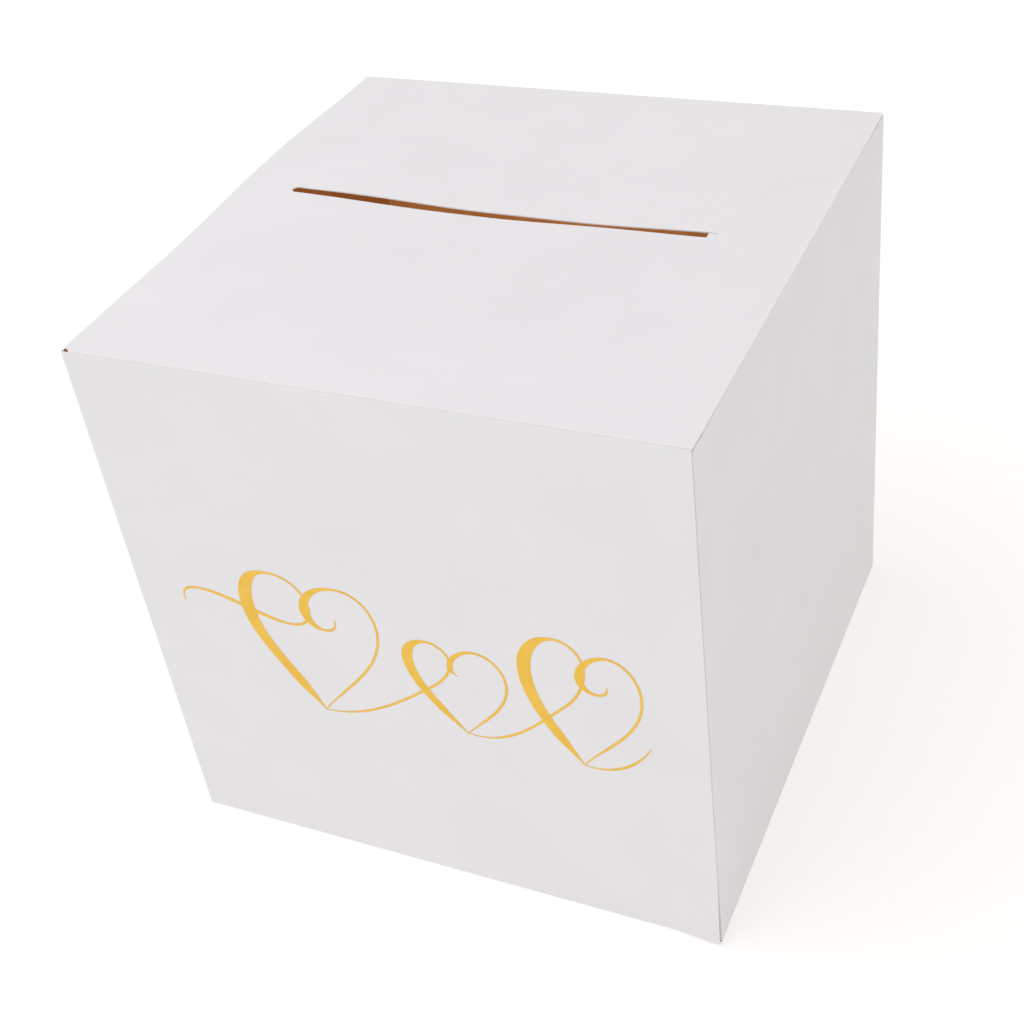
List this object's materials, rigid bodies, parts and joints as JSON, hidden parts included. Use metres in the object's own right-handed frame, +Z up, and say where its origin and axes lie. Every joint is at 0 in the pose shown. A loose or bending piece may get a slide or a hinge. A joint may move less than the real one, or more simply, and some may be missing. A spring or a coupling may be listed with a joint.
{
  "type": "wedding card box",
  "caption": "White folding cube box with a posting slot in its hinged lid, a hinged base, side and tuck flaps and a gold foil flourish on the front.",
  "frame": {"origin": "middle of the underside, on the surface that the box stands on", "axes": "+Z up; the front wall with the foil is at -Y; the seam is at the front right corner, at +X"},
  "size_m": [0.254, 0.2541, 0.254],
  "materials": {
    "board": "smooth white coating, kraft inside",
    "crease": "scored and folded",
    "glue": "dried glue",
    "foil": "stamped gold foil"
  },
  "bodies": {
    "walls": {"front_wall": "board", "left_wall": "board", "back_wall": "board", "right_wall": "board", "seam_flap": "board", "seam_glue": "glue", "foil_flourish": "foil", "front_left_crease": "crease", "back_left_crease": "crease", "back_right_crease": "crease", "seam_crease": "crease", "lid_crease": "crease", "left_dust_crease": "crease", "right_dust_crease": "crease", "base_crease": "crease", "left_base_crease": "crease", "right_base_crease": "crease"},
    "lid": {"lid_panel": "board", "lid_tuck_crease": "crease"},
    "lid_tuck": {"lid_tuck_flap": "board"},
    "left_dust": {"left_dust_flap": "board"},
    "right_dust": {"right_dust_flap": "board"},
    "base": {"base_panel": "board", "base_tuck_crease": "crease"},
    "base_tuck": {"base_tuck_flap": "board"},
    "left_base": {"left_base_flap": "board"},
    "right_base": {"right_base_flap": "board"}
  },
  "joints": [
    {"name": "lid_open", "type": "hinge", "parent": "walls", "child": "lid", "pos_m": [0, 0.12675, 0.25375], "axis": [-1, 0, 0], "range_deg": [0, 180]},
    {"name": "lid_tuck_open", "type": "hinge", "parent": "lid", "child": "lid_tuck", "pos_m": [0, -0.1253, 0.2531], "axis": [-1, 0, 0], "range_deg": [0, 73]},
    {"name": "left_dust_open", "type": "hinge", "parent": "walls", "child": "left_dust", "pos_m": [-0.12675, 0, 0.25295], "axis": [0, -1, 0], "range_deg": [0, 109]},
    {"name": "right_dust_open", "type": "hinge", "parent": "walls", "child": "right_dust", "pos_m": [0.12675, 0, 0.25295], "axis": [0, 1, 0], "range_deg": [0, 109]},
    {"name": "base_open", "type": "hinge", "parent": "walls", "child": "base", "pos_m": [0, -0.12675, 0.00025], "axis": [-1, 0, 0], "range_deg": [0, 180]},
    {"name": "base_tuck_open", "type": "hinge", "parent": "base", "child": "base_tuck", "pos_m": [0, 0.1253, 0.0009], "axis": [-1, 0, 0], "range_deg": [0, 73]},
    {"name": "left_base_open", "type": "hinge", "parent": "walls", "child": "left_base", "pos_m": [-0.12675, 0, 0.00105], "axis": [0, 1, 0], "range_deg": [0, 109]},
    {"name": "right_base_open", "type": "hinge", "parent": "walls", "child": "right_base", "pos_m": [0.12675, 0, 0.00105], "axis": [0, -1, 0], "range_deg": [0, 109]}
  ],
  "couplings": [
    {"joint": "lid_tuck_open", "follows": "lid_open", "ratio": 0.4},
    {"joint": "left_dust_open", "follows": "lid_open", "ratio": 0.6},
    {"joint": "right_dust_open", "follows": "lid_open", "ratio": 0.6},
    {"joint": "base_tuck_open", "follows": "base_open", "ratio": 0.4},
    {"joint": "left_base_open", "follows": "base_open", "ratio": 0.6},
    {"joint": "right_base_open", "follows": "base_open", "ratio": 0.6}
  ]
}
